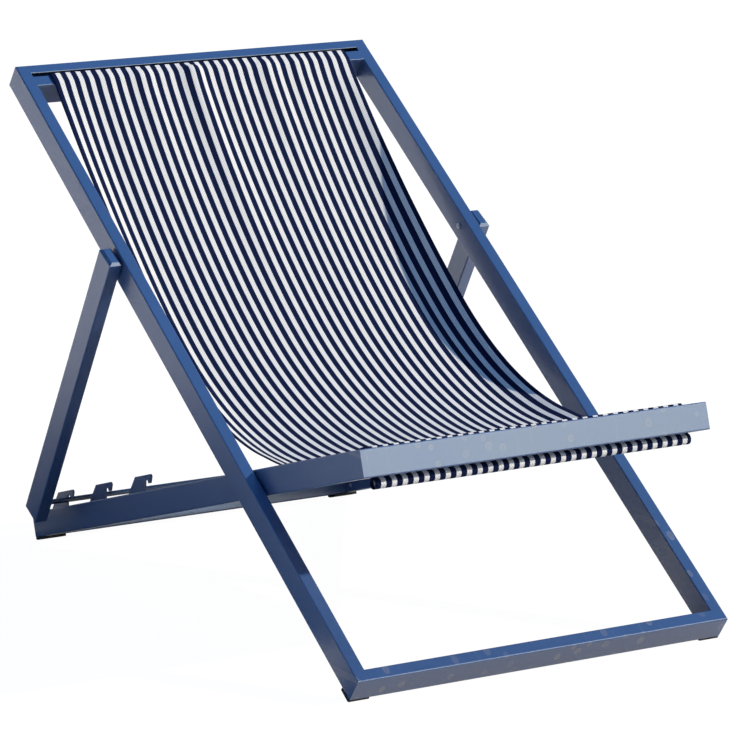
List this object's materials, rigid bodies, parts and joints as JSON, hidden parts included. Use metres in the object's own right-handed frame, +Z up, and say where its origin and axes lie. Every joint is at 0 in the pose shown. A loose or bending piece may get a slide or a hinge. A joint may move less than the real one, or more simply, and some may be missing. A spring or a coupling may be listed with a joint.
{
  "type": "folding deck chair",
  "caption": "Reclined folding deck chair: a rectangular-tube frame crossed by a seat frame and a prop frame latched in hooks, with a striped cloth sling.",
  "frame": {"origin": "middle of the footprint, on the floor", "axes": "front faces -Y, up is +Z, the sitter's left is +X"},
  "size_m": [0.664, 1.0408, 0.7488],
  "materials": {
    "frame_paint": "satin",
    "sling_cloth": "woven, striped",
    "foot_rubber": "matte",
    "nylon": "matte",
    "fastener_steel": "satin"
  },
  "bodies": {
    "main_frame": {"main_left_rail": "frame_paint", "main_right_rail": "frame_paint", "main_top_rail": "frame_paint", "main_bottom_rail": "frame_paint", "main_foot_pads": "foot_rubber", "sling": "sling_cloth", "sling_head_hem": "sling_cloth", "sling_head_rod": "fastener_steel", "seat_pivot_bolts": "fastener_steel", "seat_pivot_washers": "fastener_steel", "seat_pivot_inserts": "fastener_steel", "prop_pivot_bushes": "nylon", "prop_pivot_washers": "fastener_steel"},
    "seat_frame": {"seat_left_rail": "frame_paint", "seat_right_rail": "frame_paint", "seat_front_rail": "frame_paint", "seat_rear_rail": "frame_paint", "recline_hooks_left": "frame_paint", "recline_hooks_right": "frame_paint", "seat_foot_pads": "foot_rubber", "seat_pivot_bushes": "nylon", "seat_side_screws": "fastener_steel", "sling_front_hem": "sling_cloth", "sling_front_rod": "fastener_steel"},
    "prop_frame": {"prop_left_leg": "frame_paint", "prop_right_leg": "frame_paint", "prop_top_caps": "frame_paint", "prop_end_plugs": "frame_paint", "latch_rod": "frame_paint", "latch_rod_rings": "fastener_steel", "prop_pivot_bolts": "fastener_steel", "prop_pivot_inserts": "fastener_steel"}
  },
  "joints": [
    {"name": "seat_fold", "type": "hinge", "parent": "main_frame", "child": "seat_frame", "pos_m": [0, -0.19575, 0.23849], "axis": [1, 0, 0], "range_deg": [0, 52.33], "deforming": ["sling"]},
    {"name": "prop_fold", "type": "hinge", "parent": "main_frame", "child": "prop_frame", "pos_m": [0, 0.17416, 0.49789], "axis": [1, 0, 0], "range_deg": [-82, 0]}
  ],
  "couplings": [
    {"joint": "prop_fold", "follows": "seat_fold", "ratio": -1.566}
  ]
}
